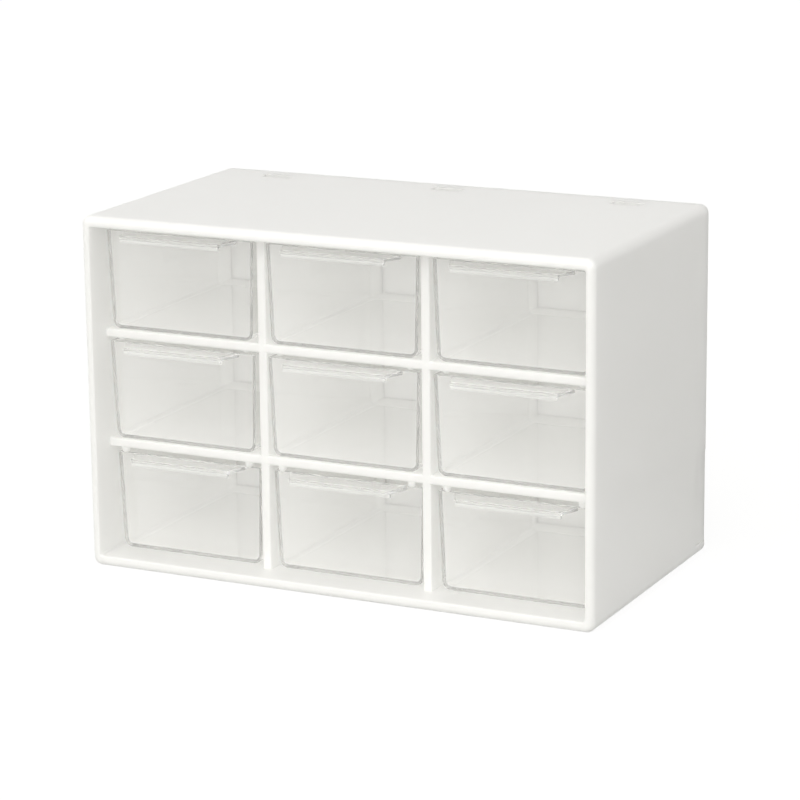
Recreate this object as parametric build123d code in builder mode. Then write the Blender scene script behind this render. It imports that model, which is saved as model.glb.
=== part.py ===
from build123d import *
import os

# Desktop storage box for craft supplies: a moulded housing with a grid of cells, a snap-in
# back panel, and one clear drawer in each cell. Lengths are in millimetres. The box stands
# on Z = 0, centred on X and Y, and its open front faces -Y.

# Outside of the housing
width = 180.0
depth = 97.0
height = 118.0
long_edge_radius = 3.0
rear_edge_radius = 1.0

# Walls, rim and dividers of the housing
side_wall = 3.0
flat_wall = 3.6
divider = 3.0
front_recess = 9.2
rim_land = 0.2
rim_inner_radius = 0.6
inner_corner_radius = 1.0
divider_edge_radius = 0.6

# Cells, of which those along the walls are a little larger than the middle one
row_names = ("bottom", "middle", "top")
column_names = ("left", "centre", "right")
outer_row_extra = 1.25
outer_column_extra = 1.5

# Windows for the hooks of the back panel, and the finger rebates beside it
window_length = 10.6
window_width = 4.2
window_from_rear = 9.3
window_outset = 5.95
rebate_depth = 0.4
rebate_length = 8.7
rebate_low = 4.0
rebate_high = 35.5

# Back panel, with its snap hooks and the ribs that stop the drawers
panel_thickness = 2.0
panel_inset = 0.5
panel_edge_gap = 0.15
panel_seat_gap = 0.1
hook_thickness = 1.6
hook_tip = 1.6
hook_gap = 0.3
hook_wall_gap = 0.15
hook_below_surface = 0.3
nose_flat = 0.8
stop_rib_thickness = 2.0
stop_rib_margin = 7.0
stop_gap = 0.3

# Drawers
drawer_wall = 1.1
drawer_draft = 1.1
drawer_end_draft = 0.5
drawer_side_gap = 0.5
drawer_head_gap = 1.2
drawer_slide_gap = 0.2
drawer_set_back = 0.1
drawer_hook_gap = 3.8
base_corner_radius = 3.0
drawer_end_radius = 0.4

# How much deeper than flush with the grid the drawers of each row stand
row_depths = (2.7, 0.0, 0.0)

# Handle along the top of a drawer's front: a plate with a lip folded down along its edge
handle_root_margin = 6.0
handle_narrowing = 3.1
handle_behind_rim = 2.0
handle_plate = 1.2
handle_lip = 1.3
handle_lip_height = 2.3
handle_corner_radius = 1.2
handle_edge_radius = 0.35

# Pegs under the front of each ceiling, and the drawer's ears that meet them when it is open
peg_radius = 1.3
peg_set_back = 1.6
peg_gap = 0.35
ear_from_side = 3.8
ear_width = 3.2
ear_thickness = 0.9

# Places that follow from the sizes above
inner_width = width - 2 * side_wall
inner_height = height - 2 * flat_wall
front_y = -depth / 2
rear_y = depth / 2
mid_z = height / 2
grid_front_y = front_y + front_recess
panel_front_y = rear_y - panel_inset - panel_thickness
grid_rear_y = panel_front_y - panel_seat_gap
window_y = rear_y - window_from_rear
rim_outer_radius = min(side_wall, flat_wall) - rim_inner_radius - rim_land


def cell_spans(inner, count, extra, start):
    """Low and high end of each cell along one side of the grid."""
    plain = (inner - (count - 1) * divider - 2 * extra) / count
    spans = []
    low = start
    for index in range(count):
        at_wall = index in (0, count - 1)
        high = low + plain + (extra if at_wall else 0)
        spans.append((low, high))
        low = high + divider
    return spans


def middle(span):
    """Middle of a span."""
    return (span[0] + span[1]) / 2


def size(span):
    """Size of a span."""
    return span[1] - span[0]


def facing_front(y):
    """Plane across the box at y, with its sketch axes along X and Z."""
    return Plane.XZ.offset(-y)


column_spans = cell_spans(inner_width, len(column_names), outer_column_extra, -inner_width / 2)
row_spans = cell_spans(inner_height, len(row_names), outer_row_extra, flat_wall)
outer_column = (len(column_names) - 1) / 2
window_places = [
    middle(span) + window_outset * (index - outer_column)
    for index, span in enumerate(column_spans)
]

# Hooks stand in their windows, and the drawers end in front of the hooks
nose_rear_y = window_y + window_width / 2 - hook_gap
nose_front_y = window_y - window_width / 2 + hook_gap
hook_front_y = nose_front_y - hook_tip
drawer_front_y = grid_front_y + drawer_set_back
drawer_rear_y = hook_front_y - drawer_hook_gap
stop_y = drawer_rear_y + max(row_depths) + stop_gap
drawer_length = drawer_rear_y - drawer_front_y
drawer_width = min(size(span) for span in column_spans) - 2 * drawer_side_gap
drawer_height = min(size(span) for span in row_spans) - drawer_slide_gap - drawer_head_gap
ear_place = drawer_width / 2 - ear_from_side
ear_height = drawer_head_gap - peg_gap


# Housing: one moulding with the walls, the rim, the dividers and the shelves
with BuildPart() as housing:
    with BuildSketch(Plane.XY):
        Rectangle(width, depth)
    extrude(amount=height)
    fillet(housing.edges().filter_by(Axis.Y), radius=long_edge_radius)
    fillet(housing.faces().sort_by(Axis.Y)[0].edges(), radius=rim_outer_radius)
    fillet(housing.faces().sort_by(Axis.Y)[-1].edges(), radius=rear_edge_radius)

    # Cavity through the whole depth, with a softened rim
    with BuildSketch(facing_front(front_y)):
        with Locations((0, mid_z)):
            RectangleRounded(inner_width, inner_height, inner_corner_radius)
    extrude(amount=-depth, mode=Mode.SUBTRACT)
    rim_edges = housing.faces().sort_by(Axis.Y)[0].inner_wires()[0].edges()
    fillet(rim_edges, radius=rim_inner_radius)

    # Dividers and shelves, each reaching half a wall into the walls
    with BuildSketch(facing_front(grid_front_y)):
        for left, right in zip(column_spans, column_spans[1:]):
            with Locations(((left[1] + right[0]) / 2, mid_z)):
                Rectangle(divider, inner_height + flat_wall)
        for lower, upper in zip(row_spans, row_spans[1:]):
            with Locations((0, (lower[1] + upper[0]) / 2)):
                Rectangle(inner_width + side_wall, divider)
    extrude(amount=grid_front_y - grid_rear_y)
    grid_edges = housing.edges().filter_by(lambda edge: abs(edge.center().Y - grid_front_y) < 0.01)
    free_edges = grid_edges.filter_by(
        lambda edge: abs(edge.center().X) < inner_width / 2 - 0.1
        and abs(edge.center().Z - mid_z) < inner_height / 2 - 0.1
    )
    fillet(free_edges, radius=divider_edge_radius)

    # Hook windows through the top and the floor
    with BuildSketch(Plane.XY):
        with Locations(*[(x, window_y) for x in window_places]):
            Rectangle(window_length, window_width)
    extrude(amount=height, mode=Mode.SUBTRACT)

    # Finger rebates in the rear edge of both side walls
    with BuildSketch(facing_front(rear_y)):
        with Locations((0, middle((rebate_low, rebate_high)))):
            Rectangle(width, rebate_high - rebate_low)
            Rectangle(width - 2 * rebate_depth, rebate_high - rebate_low, mode=Mode.SUBTRACT)
    extrude(amount=rebate_length, mode=Mode.SUBTRACT)

    # Domed pegs under the front of each ceiling, which end just above the drawer below them
    for row_low, row_high in row_spans:
        dome_z = row_low + drawer_slide_gap + drawer_height + peg_gap + peg_radius
        stem = max(row_high - dome_z + divider / 2, peg_radius)
        for span in column_spans:
            for side in (-1, 1):
                peg_x = middle(span) + side * ear_place
                with Locations((peg_x, grid_front_y + peg_set_back, dome_z)):
                    Sphere(peg_radius)
                    Cylinder(peg_radius, stem, align=(Align.CENTER, Align.CENTER, Align.MIN))

housing.part.label = "housing"


# Back panel: a plate in the rear opening, hooked into the top and the floor
with BuildPart() as back_panel:
    with BuildSketch(facing_front(panel_front_y)):
        with Locations((0, mid_z)):
            RectangleRounded(
                inner_width - 2 * panel_edge_gap,
                inner_height - 2 * panel_edge_gap,
                inner_corner_radius,
            )
    extrude(amount=-panel_thickness)

    # Snap hooks: an arm along the wall, whose nose is a ramp in front and square behind
    arm_top = inner_height / 2 - hook_wall_gap
    nose_top = height / 2 - hook_below_surface
    hook_planes = [
        Plane(origin=(x, 0, mid_z), x_dir=(0, 1, 0), z_dir=(1, 0, 0)) for x in window_places
    ]
    with BuildSketch(*hook_planes):
        with BuildLine():
            Polyline(
                (panel_front_y + panel_thickness / 2, arm_top),
                (nose_rear_y, arm_top),
                (nose_rear_y, nose_top),
                (nose_rear_y - nose_flat, nose_top),
                (nose_front_y, arm_top),
                (hook_front_y, arm_top),
                (hook_front_y, arm_top - hook_thickness),
                (panel_front_y + panel_thickness / 2, arm_top - hook_thickness),
                close=True,
            )
        make_face()
        mirror(about=Plane.XZ)
    extrude(amount=window_length / 2 - hook_gap, both=True)

    # One upright rib behind each drawer, which stops it when it is pushed in
    with BuildSketch(facing_front(panel_front_y)):
        for row_span in row_spans:
            for column_span in column_spans:
                with Locations((middle(column_span), middle(row_span))):
                    Rectangle(stop_rib_thickness, size(row_span) - 2 * stop_rib_margin)
    extrude(amount=panel_front_y - stop_y)

back_panel.part.label = "back_panel"


# Handle of a drawer, with its top on Z = 0 and the drawer's front edge along Y = 0
with BuildPart() as handle:
    root_half = drawer_width / 2 - handle_root_margin
    front_half = root_half - handle_narrowing
    edge_y = front_y + handle_behind_rim - drawer_front_y
    with BuildSketch(Plane.XY) as handle_outline:
        with BuildLine():
            Polyline(
                (-root_half, drawer_wall / 2),
                (-root_half, 0),
                (-front_half, edge_y),
                (front_half, edge_y),
                (root_half, 0),
                (root_half, drawer_wall / 2),
                close=True,
            )
        make_face()
        fillet(handle_outline.vertices().group_by(Axis.Y)[0], radius=handle_corner_radius)
    extrude(amount=-handle_lip_height)

    # Finger space under the plate, behind the lip
    with BuildSketch(Plane.XY.offset(-handle_plate)):
        with Locations((0, edge_y + handle_lip)):
            Rectangle(
                drawer_width,
                drawer_wall - edge_y,
                align=(Align.CENTER, Align.MIN),
            )
    extrude(amount=-handle_lip_height, mode=Mode.SUBTRACT)
    outer_edges = handle.edges().filter_by(lambda edge: edge.center().Y < -handle_edge_radius)
    fillet(outer_edges, radius=handle_edge_radius)


# Drawer, with the middle of its front edge above the origin and its underside on Z = 0
with BuildPart() as drawer:
    # Front view: sides that lean in to a rounded base
    with BuildSketch(Plane.XZ) as front_view:
        with BuildLine():
            Polyline(
                (-drawer_width / 2, drawer_height),
                (-drawer_width / 2 + drawer_draft, 0),
                (drawer_width / 2 - drawer_draft, 0),
                (drawer_width / 2, drawer_height),
                close=True,
            )
        make_face()
        fillet(front_view.vertices().group_by(Axis.Y)[0], radius=base_corner_radius)
    extrude(amount=-drawer_length)

    # Side view: both ends lean in as well
    with BuildSketch(Plane.YZ):
        with BuildLine():
            Polyline(
                (0, drawer_height),
                (drawer_end_draft, 0),
                (drawer_length - drawer_end_draft, 0),
                (drawer_length, drawer_height),
                close=True,
            )
        make_face()
    extrude(amount=drawer_width, both=True, mode=Mode.INTERSECT)

    # Hollow with its open top, then softened edges round both ends
    offset(amount=-drawer_wall, openings=drawer.faces().sort_by(Axis.Z)[-1])
    for end in (0, -1):
        end_face = drawer.faces().sort_by(Axis.Y)[end]
        fillet(end_face.edges().sort_by(Axis.Z)[:-1], radius=drawer_end_radius)

    # Ears on the rear wall
    with BuildSketch(Plane.XY.offset(drawer_height)):
        with Locations((-ear_place, drawer_length - drawer_wall / 2)):
            Rectangle(ear_width, ear_thickness)
        with Locations((ear_place, drawer_length - drawer_wall / 2)):
            Rectangle(ear_width, ear_thickness)
    extrude(amount=ear_height)

    # Handle
    with Locations((0, 0, drawer_height)):
        add(handle.part)


os.makedirs("parts", exist_ok=True)
export_step(housing.part, "parts/housing.step")
export_step(back_panel.part, "parts/back_panel.step")

# One drawer stands in each cell
for row_name, row_span, row_depth in zip(row_names, row_spans, row_depths):
    drawer_y = drawer_front_y + row_depth
    for column_name, column_span in zip(column_names, column_spans):
        with BuildPart() as placed_drawer:
            with Locations((middle(column_span), drawer_y, row_span[0] + drawer_slide_gap)):
                add(drawer.part)
        placed_drawer.part.label = f"drawer_{row_name}_{column_name}"
        export_step(placed_drawer.part, f"parts/{placed_drawer.part.label}.step")

# Travel of a drawer from where it stands, inwards to its rib and out to its ears on the pegs
ear_front_y = drawer_length - (drawer_wall + ear_thickness) / 2
peg_rear_y = grid_front_y + peg_set_back + peg_radius - drawer_front_y
print(f"Drawer {drawer_width:.2f} x {drawer_length:.2f} x {drawer_height:.2f} mm")
for row_name, row_depth in zip(row_names, row_depths):
    inwards = row_depth - max(row_depths)
    outwards = ear_front_y - peg_rear_y - peg_gap + row_depth
    print(f"Drawer travel in the {row_name} row {inwards:.2f} to {outwards:.2f} mm")
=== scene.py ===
import logging
from dataclasses import dataclass
from enum import Enum
from math import radians

import bpy
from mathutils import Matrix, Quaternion, Vector


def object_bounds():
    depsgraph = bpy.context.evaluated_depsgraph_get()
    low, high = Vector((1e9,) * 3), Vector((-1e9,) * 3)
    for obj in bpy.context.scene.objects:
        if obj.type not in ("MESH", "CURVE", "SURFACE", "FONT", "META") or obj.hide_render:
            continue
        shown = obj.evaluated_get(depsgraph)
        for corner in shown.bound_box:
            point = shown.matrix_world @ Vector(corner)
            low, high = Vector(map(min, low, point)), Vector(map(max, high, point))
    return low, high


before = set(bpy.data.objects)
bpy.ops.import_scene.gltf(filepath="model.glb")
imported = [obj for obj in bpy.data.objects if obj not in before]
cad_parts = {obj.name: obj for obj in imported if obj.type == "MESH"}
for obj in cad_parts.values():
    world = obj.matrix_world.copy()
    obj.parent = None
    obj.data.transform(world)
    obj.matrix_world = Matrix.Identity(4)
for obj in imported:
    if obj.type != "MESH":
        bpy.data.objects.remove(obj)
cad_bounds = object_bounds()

LOG = logging.getLogger("craft_storage_box")
MM = 0.001
IMAGE_SIDE_PX = 800
SENSOR_MM = 36.0

# Noise textures stay between these values nearly everywhere
NOISE_LOW = 0.3
NOISE_HIGH = 0.7


@dataclass(frozen=True)
class MouldFinish:
    """What the wall of a mould gives the plastic: a range of roughness, and a share of grain."""

    roughest: float
    smoothest: float
    grain_strength: float


class MouldSurface(Enum):
    """How the wall of the mould was finished, which the moulded plastic copies."""

    POLISHED = MouldFinish(roughest=0.43, smoothest=0.33, grain_strength=0.5)
    FINE_MATT = MouldFinish(roughest=0.6, smoothest=0.48, grain_strength=1.0)


def linear(colour_hex: str) -> tuple[float, float, float, float]:
    """Turn an sRGB colour into linear light.

    Args:
        colour_hex: The colour as six hex digits, with or without a leading hash.

    Returns:
        Linear red, green and blue with an alpha of one.
    """
    digits = colour_hex.lstrip("#")
    channels = [int(digits[start:start + 2], 16) / 255 for start in (0, 2, 4)]
    red, green, blue = [
        c / 12.92 if c <= 0.04045 else ((c + 0.055) / 1.055) ** 2.4 for c in channels
    ]
    return red, green, blue, 1.0


def add_node(
    tree: bpy.types.NodeTree,
    kind: str,
    settings: dict[str | int, object] | None = None,
    links: dict[str | int, bpy.types.NodeSocket] | None = None,
) -> bpy.types.Node:
    """Add one node with its settings and links.

    Args:
        tree: The node tree that gets the node.
        kind: The node's type, such as ShaderNodeTexNoise.
        settings: Values for the node's own properties or, failing that, for its inputs.
        links: Output sockets to join to the node's inputs.

    Returns:
        The new node.
    """
    node = tree.nodes.new(kind)
    for name, value in (settings or {}).items():
        if isinstance(name, str) and hasattr(node, name):
            setattr(node, name, value)
        else:
            node.inputs[name].default_value = value
    for name, socket in (links or {}).items():
        tree.links.new(socket, node.inputs[name])
    return node


def new_material(name: str) -> tuple[bpy.types.Material, bpy.types.NodeTree]:
    """Make an empty node material.

    Args:
        name: The material's name.

    Returns:
        The material and its cleared node tree.
    """
    material = bpy.data.materials.new(name)
    material.use_nodes = True
    material.node_tree.nodes.clear()
    return material, material.node_tree


def scale_of(size_mm: float) -> float:
    """Texture scale that gives features of a real size, in object space in metres."""
    return 1.0 / (size_mm * MM)


@dataclass(frozen=True)
class WhitePolystyrene:
    """High-impact polystyrene, injection moulded: an even warm white with a soft shine."""

    name: str
    surface: MouldSurface
    colour: str = "#FBFBFA"
    flow_colour: str = "#FAFAF9"
    flow_size_mm: float = 70.0
    ior: float = 1.57
    polish_size_mm: float = 9.0
    grain_size_mm: float = 0.9
    grain_depth_mm: float = 0.006
    light_reach_mm: float = 5.0

    def build(self) -> bpy.types.Material:
        """Make the material.

        Returns:
            The white plastic, with faint flow clouds and the texture of its mould.
        """
        material, tree = new_material(self.name)
        place = add_node(tree, "ShaderNodeTexCoord").outputs["Object"]

        # Faint clouds from the melt's flow keep large faces from looking painted
        clouds = add_node(
            tree,
            "ShaderNodeTexNoise",
            {"Scale": scale_of(self.flow_size_mm), "Detail": 3.0, "Roughness": 0.5},
            {"Vector": place},
        )
        tint = add_node(
            tree,
            "ShaderNodeMix",
            {"data_type": "RGBA", 6: linear(self.colour), 7: linear(self.flow_colour)},
            {0: clouds.outputs["Fac"]},
        )

        # The shine varies a little with the polish of the mould
        finish = self.surface.value
        polish = add_node(
            tree,
            "ShaderNodeTexNoise",
            {"Scale": scale_of(self.polish_size_mm), "Detail": 4.0, "Roughness": 0.6},
            {"Vector": place},
        )
        shine = add_node(
            tree,
            "ShaderNodeMapRange",
            {
                "From Min": NOISE_LOW,
                "From Max": NOISE_HIGH,
                "To Min": finish.smoothest,
                "To Max": finish.roughest,
            },
            {"Value": polish.outputs["Fac"]},
        )

        # Fine grain of the mould wall, drawn coarse enough to show in the shine
        grain = add_node(
            tree,
            "ShaderNodeTexNoise",
            {"Scale": scale_of(self.grain_size_mm), "Detail": 2.0, "Roughness": 0.5},
            {"Vector": place},
        )
        relief = add_node(
            tree,
            "ShaderNodeBump",
            {"Strength": finish.grain_strength, "Distance": self.grain_depth_mm * MM},
            {"Height": grain.outputs["Fac"]},
        )

        # Light spreads alike in all colours under the skin, so edges look soft and thin walls glow
        plastic = add_node(
            tree,
            "ShaderNodeBsdfPrincipled",
            {
                "IOR": self.ior,
                "Subsurface Weight": 1.0,
                "Subsurface Radius": (1.0, 1.0, 1.0),
                "Subsurface Scale": self.light_reach_mm * MM,
            },
            {
                "Base Color": tint.outputs[2],
                "Roughness": shine.outputs["Result"],
                "Normal": relief.outputs["Normal"],
            },
        )
        add_node(
            tree, "ShaderNodeOutputMaterial", links={"Surface": plastic.outputs["BSDF"]}
        )
        return material


@dataclass(frozen=True)
class ClearPolystyrene:
    """General-purpose polystyrene, injection moulded clear: bright, glassy and slightly wavy."""

    name: str = "clear polystyrene"
    colour: str = "#FFFFFF"
    ior: float = 1.59
    roughness: float = 0.03
    clarity: float = 0.89
    wave_size_mm: float = 16.0
    wave_depth_mm: float = 0.015
    light_loss: str = "#FFFFFF"
    guided_hits: float = 4.5

    def build(self) -> bpy.types.Material:
        """Make the material.

        Returns:
            The clear plastic, which bends what is behind it and lets lamps through.
        """
        material, tree = new_material(self.name)
        place = add_node(tree, "ShaderNodeTexCoord").outputs["Object"]

        # Sink and flow leave long, shallow waves in the walls
        waves = add_node(
            tree,
            "ShaderNodeTexNoise",
            {"Scale": scale_of(self.wave_size_mm), "Detail": 1.0, "Roughness": 0.4},
            {"Vector": place},
        )
        relief = add_node(
            tree,
            "ShaderNodeBump",
            {"Strength": 1.0, "Distance": self.wave_depth_mm * MM},
            {"Height": waves.outputs["Fac"]},
        )
        plastic = add_node(
            tree,
            "ShaderNodeBsdfPrincipled",
            {
                "Base Color": linear(self.colour),
                "Transmission Weight": self.clarity,
                "IOR": self.ior,
                "Roughness": self.roughness,
            },
            {"Normal": relief.outputs["Normal"]},
        )

        # Lamps and the white cells light the inside through the walls, with no loss on the way
        passing = add_node(
            tree, "ShaderNodeBsdfTransparent", {"Color": linear(self.light_loss)}
        )
        rays = add_node(tree, "ShaderNodeLightPath")
        lighting = add_node(
            tree,
            "ShaderNodeMath",
            {"operation": "MAXIMUM"},
            {0: rays.outputs["Is Shadow Ray"], 1: rays.outputs["Is Diffuse Ray"]},
        )

        # Light caught inside a wall leaves it again after a few hits, so edges stay bright
        guided = add_node(
            tree,
            "ShaderNodeMath",
            {"operation": "GREATER_THAN", 1: self.guided_hits},
            {0: rays.outputs["Ray Depth"]},
        )
        passing_rays = add_node(
            tree,
            "ShaderNodeMath",
            {"operation": "MAXIMUM"},
            {0: lighting.outputs["Value"], 1: guided.outputs["Value"]},
        )
        see_or_light = add_node(
            tree,
            "ShaderNodeMixShader",
            links={
                0: passing_rays.outputs["Value"],
                1: plastic.outputs["BSDF"],
                2: passing.outputs["BSDF"],
            },
        )
        add_node(
            tree, "ShaderNodeOutputMaterial", links={"Surface": see_or_light.outputs["Shader"]}
        )
        return material


def dress(node: str, material: bpy.types.Material) -> None:
    """Give a piece of the frame its finish.

    Args:
        node: The name of the piece.
        material: The finish for the whole piece.
    """
    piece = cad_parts[node]
    piece.data.materials.clear()
    piece.data.materials.append(material)
    LOG.info("%s: %s", node, material.name)


@dataclass
class Housing:
    """The moulded housing with its grid of cells, and the back panel hooked into it."""

    node: str = "housing"
    panel_node: str = "back_panel"
    slot: str = "white_plastic"
    outside: WhitePolystyrene = WhitePolystyrene("white moulded polystyrene", MouldSurface.POLISHED)
    panel: WhitePolystyrene = WhitePolystyrene("white matt polystyrene", MouldSurface.FINE_MATT)

    def build(self) -> None:
        """Dress the housing and its back panel."""
        dress(self.node, self.outside.build())
        dress(self.panel_node, self.panel.build())


@dataclass
class DrawerSet:
    """The clear drawers, one in each cell."""

    prefix: str = "drawer_"
    slot: str = "clear_plastic"
    plastic: ClearPolystyrene = ClearPolystyrene()

    def build(self) -> None:
        """Dress every drawer in the same clear plastic."""
        material = self.plastic.build()
        for node in sorted(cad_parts):
            if node.startswith(self.prefix):
                dress(node, material)


@dataclass
class Studio:
    """A plain pale floor, soft light and a camera at the photograph's viewing angle."""

    camera_place_m: tuple[float, float, float] = (0.4471, -0.9067, 0.3110)
    view_direction: tuple[float, float, float] = (-0.4281, 0.8696, -0.2461)
    camera_roll_deg: float = -0.65
    focal_px: float = 3167.0
    nearest_seen_m: float = 0.01
    floor_side_m: float = 6.0
    floor_colour: str = "#CCCCCB"
    floor_glow: float = 1.25
    floor_glow_share: float = 0.7
    fibre_size_mm: float = 3.0
    fibre_depth_mm: float = 0.05
    fibre_strength: float = 0.2
    light_colour: str = "#FFFEFA"
    sky_direction: tuple[float, float, float] = (-0.12, -1.0, 0.2)
    sky_front: float = 1.24
    sky_back: float = 0.09
    key_direction: tuple[float, float, float] = (0.26, -0.90, 0.36)
    key_distance_m: float = 1.6
    key_side_m: float = 1.2
    key_power_w: float = 7.0
    diffuse_bounces: int = 12
    clear_wall_bounces: int = 40

    def seen_rays(self, tree: bpy.types.NodeTree) -> bpy.types.NodeSocket:
        """Add a mask of the rays that show the surroundings.

        Args:
            tree: The node tree that gets the mask.

        Returns:
            A socket that is one for camera, mirrored and refracted rays, and zero for others.
        """
        rays = add_node(tree, "ShaderNodeLightPath")
        seen = rays.outputs["Is Camera Ray"]
        for other in ("Is Glossy Ray", "Is Transmission Ray"):
            seen = add_node(
                tree,
                "ShaderNodeMath",
                {"operation": "MAXIMUM"},
                {0: seen, 1: rays.outputs[other]},
            ).outputs["Value"]
        return seen

    def floor_paper(self) -> bpy.types.Material:
        """Make the floor's finish.

        Returns:
            Pale matt paper that looks white and still takes the object's shadow.
        """
        material, tree = new_material("pale matt studio paper")
        place = add_node(tree, "ShaderNodeTexCoord").outputs["Object"]
        fibres = add_node(
            tree,
            "ShaderNodeTexNoise",
            {"Scale": scale_of(self.fibre_size_mm), "Detail": 3.0},
            {"Vector": place},
        )
        relief = add_node(
            tree,
            "ShaderNodeBump",
            {"Strength": self.fibre_strength, "Distance": self.fibre_depth_mm * MM},
            {"Height": fibres.outputs["Fac"]},
        )
        paper = add_node(
            tree,
            "ShaderNodeBsdfDiffuse",
            {"Color": linear(self.floor_colour)},
            {"Normal": relief.outputs["Normal"]},
        )
        glow = add_node(tree, "ShaderNodeEmission", {"Strength": self.floor_glow})
        share = add_node(
            tree,
            "ShaderNodeMath",
            {"operation": "MULTIPLY", 1: self.floor_glow_share},
            {0: self.seen_rays(tree)},
        )
        surface = add_node(
            tree,
            "ShaderNodeMixShader",
            links={
                0: share.outputs["Value"],
                1: paper.outputs["BSDF"],
                2: glow.outputs["Emission"],
            },
        )
        add_node(
            tree, "ShaderNodeOutputMaterial", links={"Surface": surface.outputs["Shader"]}
        )
        return material

    def build_floor(self) -> None:
        """Lay the floor under the object."""
        half = self.floor_side_m / 2
        mesh = bpy.data.meshes.new("studio_floor")
        corners = [(-half, -half, 0), (half, -half, 0), (half, half, 0), (-half, half, 0)]
        mesh.from_pydata(corners, [], [(0, 1, 2, 3)])
        mesh.materials.append(self.floor_paper())
        floor = bpy.data.objects.new("studio_floor", mesh)
        bpy.context.scene.collection.objects.link(floor)

    def build_sky(self) -> None:
        """Surround the scene with light that is stronger in front, and looks white where seen."""
        world = bpy.data.worlds.new("studio_sky")
        bpy.context.scene.world = world
        world.use_nodes = True
        tree = world.node_tree
        tree.nodes.clear()
        direction = add_node(tree, "ShaderNodeTexCoord").outputs["Generated"]
        facing = add_node(
            tree,
            "ShaderNodeVectorMath",
            {"operation": "DOT_PRODUCT", 1: Vector(self.sky_direction).normalized()},
            {0: direction},
        )
        tent = add_node(
            tree,
            "ShaderNodeMapRange",
            {
                "interpolation_type": "SMOOTHSTEP",
                "From Min": -1.0,
                "From Max": 1.0,
                "To Min": self.sky_back,
                "To Max": self.sky_front,
            },
            {"Value": facing.outputs["Value"]},
        )
        seen = self.seen_rays(tree)
        strength = add_node(
            tree,
            "ShaderNodeMix",
            {"data_type": "FLOAT", 3: 1.0},
            {0: seen, 2: tent.outputs["Result"]},
        )
        tone = add_node(
            tree,
            "ShaderNodeMix",
            {"data_type": "RGBA", 6: linear(self.light_colour), 7: (1.0, 1.0, 1.0, 1.0)},
            {0: seen},
        )
        sky = add_node(
            tree,
            "ShaderNodeBackground",
            links={"Color": tone.outputs[2], "Strength": strength.outputs[0]},
        )
        add_node(tree, "ShaderNodeOutputWorld", links={"Surface": sky.outputs["Background"]})

    def build_key(self, centre: Vector) -> None:
        """Hang one soft lamp above the front, a little to the right as seen from there.

        Args:
            centre: The middle of the object.
        """
        lamp = bpy.data.lights.new("key_softbox", "AREA")
        lamp.shape = "SQUARE"
        lamp.size = self.key_side_m
        lamp.energy = self.key_power_w
        lamp.color = linear(self.light_colour)[:3]
        holder = bpy.data.objects.new("key_softbox", lamp)
        towards = Vector(self.key_direction).normalized()
        holder.location = centre + towards * self.key_distance_m
        holder.rotation_euler = (-towards).to_track_quat("-Z", "Y").to_euler()
        bpy.context.scene.collection.objects.link(holder)

    def build_camera(self) -> None:
        """Place the camera where it sees the object most nearly as the photograph does."""
        lens = bpy.data.cameras.new("photo_camera")
        lens.sensor_width = SENSOR_MM
        lens.lens = self.focal_px / IMAGE_SIDE_PX * SENSOR_MM
        lens.clip_start = self.nearest_seen_m
        camera = bpy.data.objects.new("photo_camera", lens)
        camera.location = self.camera_place_m
        level = Vector(self.view_direction).to_track_quat("-Z", "Y")
        roll = Quaternion((0, 0, 1), radians(self.camera_roll_deg))
        camera.rotation_euler = (level @ roll).to_euler()
        bpy.context.scene.collection.objects.link(camera)
        bpy.context.scene.camera = camera

    def let_light_travel(self) -> None:
        """Let light pass the many clear walls and settle in the white cells behind them."""
        cycles = bpy.context.scene.cycles
        cycles.max_bounces = self.clear_wall_bounces
        cycles.transmission_bounces = self.clear_wall_bounces
        cycles.transparent_max_bounces = self.clear_wall_bounces
        cycles.diffuse_bounces = self.diffuse_bounces

    def build(self) -> None:
        """Set up the floor, the light and the camera."""
        low, high = (Vector(corner) for corner in cad_bounds)
        self.build_camera()
        self.build_floor()
        self.build_sky()
        self.build_key((low + high) / 2)
        self.let_light_travel()
        bpy.context.scene.view_settings.view_transform = "Standard"


def main() -> None:
    """Build the studio, the housing and the drawers, in that order."""
    logging.basicConfig(level=logging.INFO, format="%(message)s")
    Studio().build()
    Housing().build()
    DrawerSet().build()


if __name__ == "__main__":
    main()
